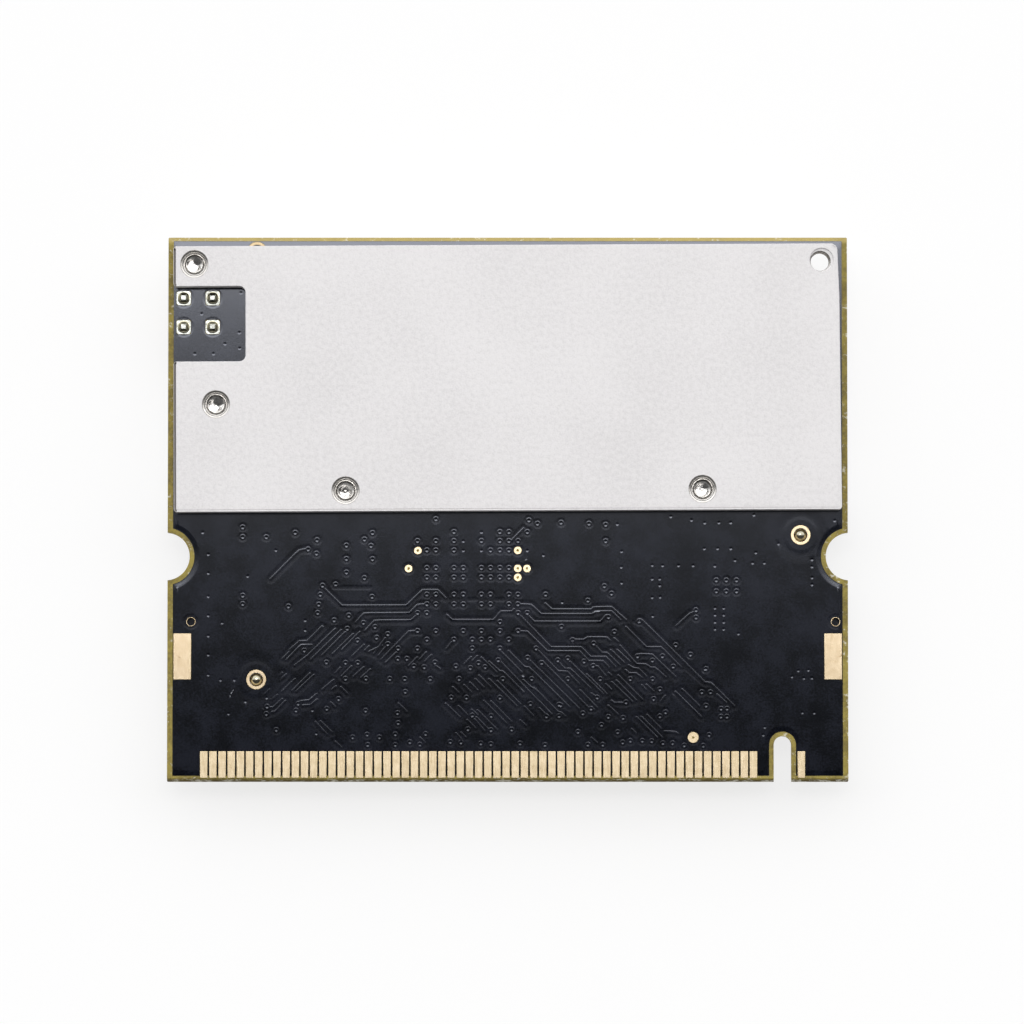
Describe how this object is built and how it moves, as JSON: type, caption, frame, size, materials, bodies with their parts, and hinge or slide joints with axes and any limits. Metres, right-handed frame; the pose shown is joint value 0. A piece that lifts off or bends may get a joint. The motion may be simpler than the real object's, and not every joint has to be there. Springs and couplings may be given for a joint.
{
  "type": "radio module",
  "caption": "Flat plug-in radio card with an edge connector, a pale metal heat plate on its back, a screwed cover on its front and a small coaxial jack.",
  "frame": {"origin": "middle of the board outline, on the surface that the cover rests on", "axes": "+X along the contact edge, +Y from the contact edge to the heat plate's far edge, +Z out of the card's back through the heat plate"},
  "size_m": [0.0596, 0.0476, 0.0069],
  "materials": {
    "laminate": "bare glass-fibre laminate, olive, milled edge",
    "solder_mask": "black semi-gloss solder mask",
    "gold_plating": "thin gold plating",
    "cast_metal": "pale cast metal with a fine grain",
    "thermal_pad": "soft thermal pad",
    "screw_steel": "zinc-plated steel",
    "jack_gold": "gold-plated brass",
    "insulator": "white fluoropolymer",
    "tin_solder": "bright tin solder",
    "chip_mould": "black moulding compound",
    "chip_substrate": "dark green package laminate",
    "crystal_ceramic": "brown-black ceramic",
    "crystal_metal": "nickel-plated lid",
    "ferrite": "sintered ferrite",
    "tantalum_case": "ochre moulded case",
    "capacitor_ceramic": "tan ceramic",
    "resistor_glaze": "black glazed face"
  },
  "bodies": {
    "root": {"board_laminate": "laminate", "back_solder_mask": "solder_mask", "front_solder_mask": "solder_mask", "back_edge_contacts": "gold_plating", "front_edge_contacts": "gold_plating", "back_ground_pads": "gold_plating", "front_ground_pads": "gold_plating", "screw_hole_sleeves": "gold_plating", "plug_rings": "gold_plating", "plug_pins": "tin_solder", "tooling_rings": "gold_plating", "test_ring_pads": "gold_plating", "heat_plate": "cast_metal", "thermal_pad": "thermal_pad", "rf_cover": "cast_metal", "cover_screws": "screw_steel", "jack_body": "jack_gold", "jack_insulator": "insulator", "jack_contact": "jack_gold", "jack_leg_sleeves": "tin_solder", "jack_solder": "tin_solder", "baseband_package": "chip_mould", "baseband_substrate": "chip_substrate", "baseband_balls": "tin_solder", "memory_chip": "chip_mould", "memory_leads": "tin_solder", "crystal_trays": "crystal_ceramic", "crystal_lids": "crystal_metal", "regulator_chip": "chip_mould", "regulator_leads": "tin_solder", "inductor_core": "ferrite", "inductor_terminals": "tin_solder", "tantalum_capacitors": "tantalum_case", "tantalum_terminals": "tin_solder", "ceramic_capacitors": "capacitor_ceramic", "capacitor_terminals": "tin_solder", "chip_resistors": "resistor_glaze", "resistor_terminals": "tin_solder", "transceiver_chip": "chip_mould", "amplifier_chips": "chip_mould", "antenna_switch": "chip_mould", "band_filter": "capacitor_ceramic"}
  },
  "joints": []
}
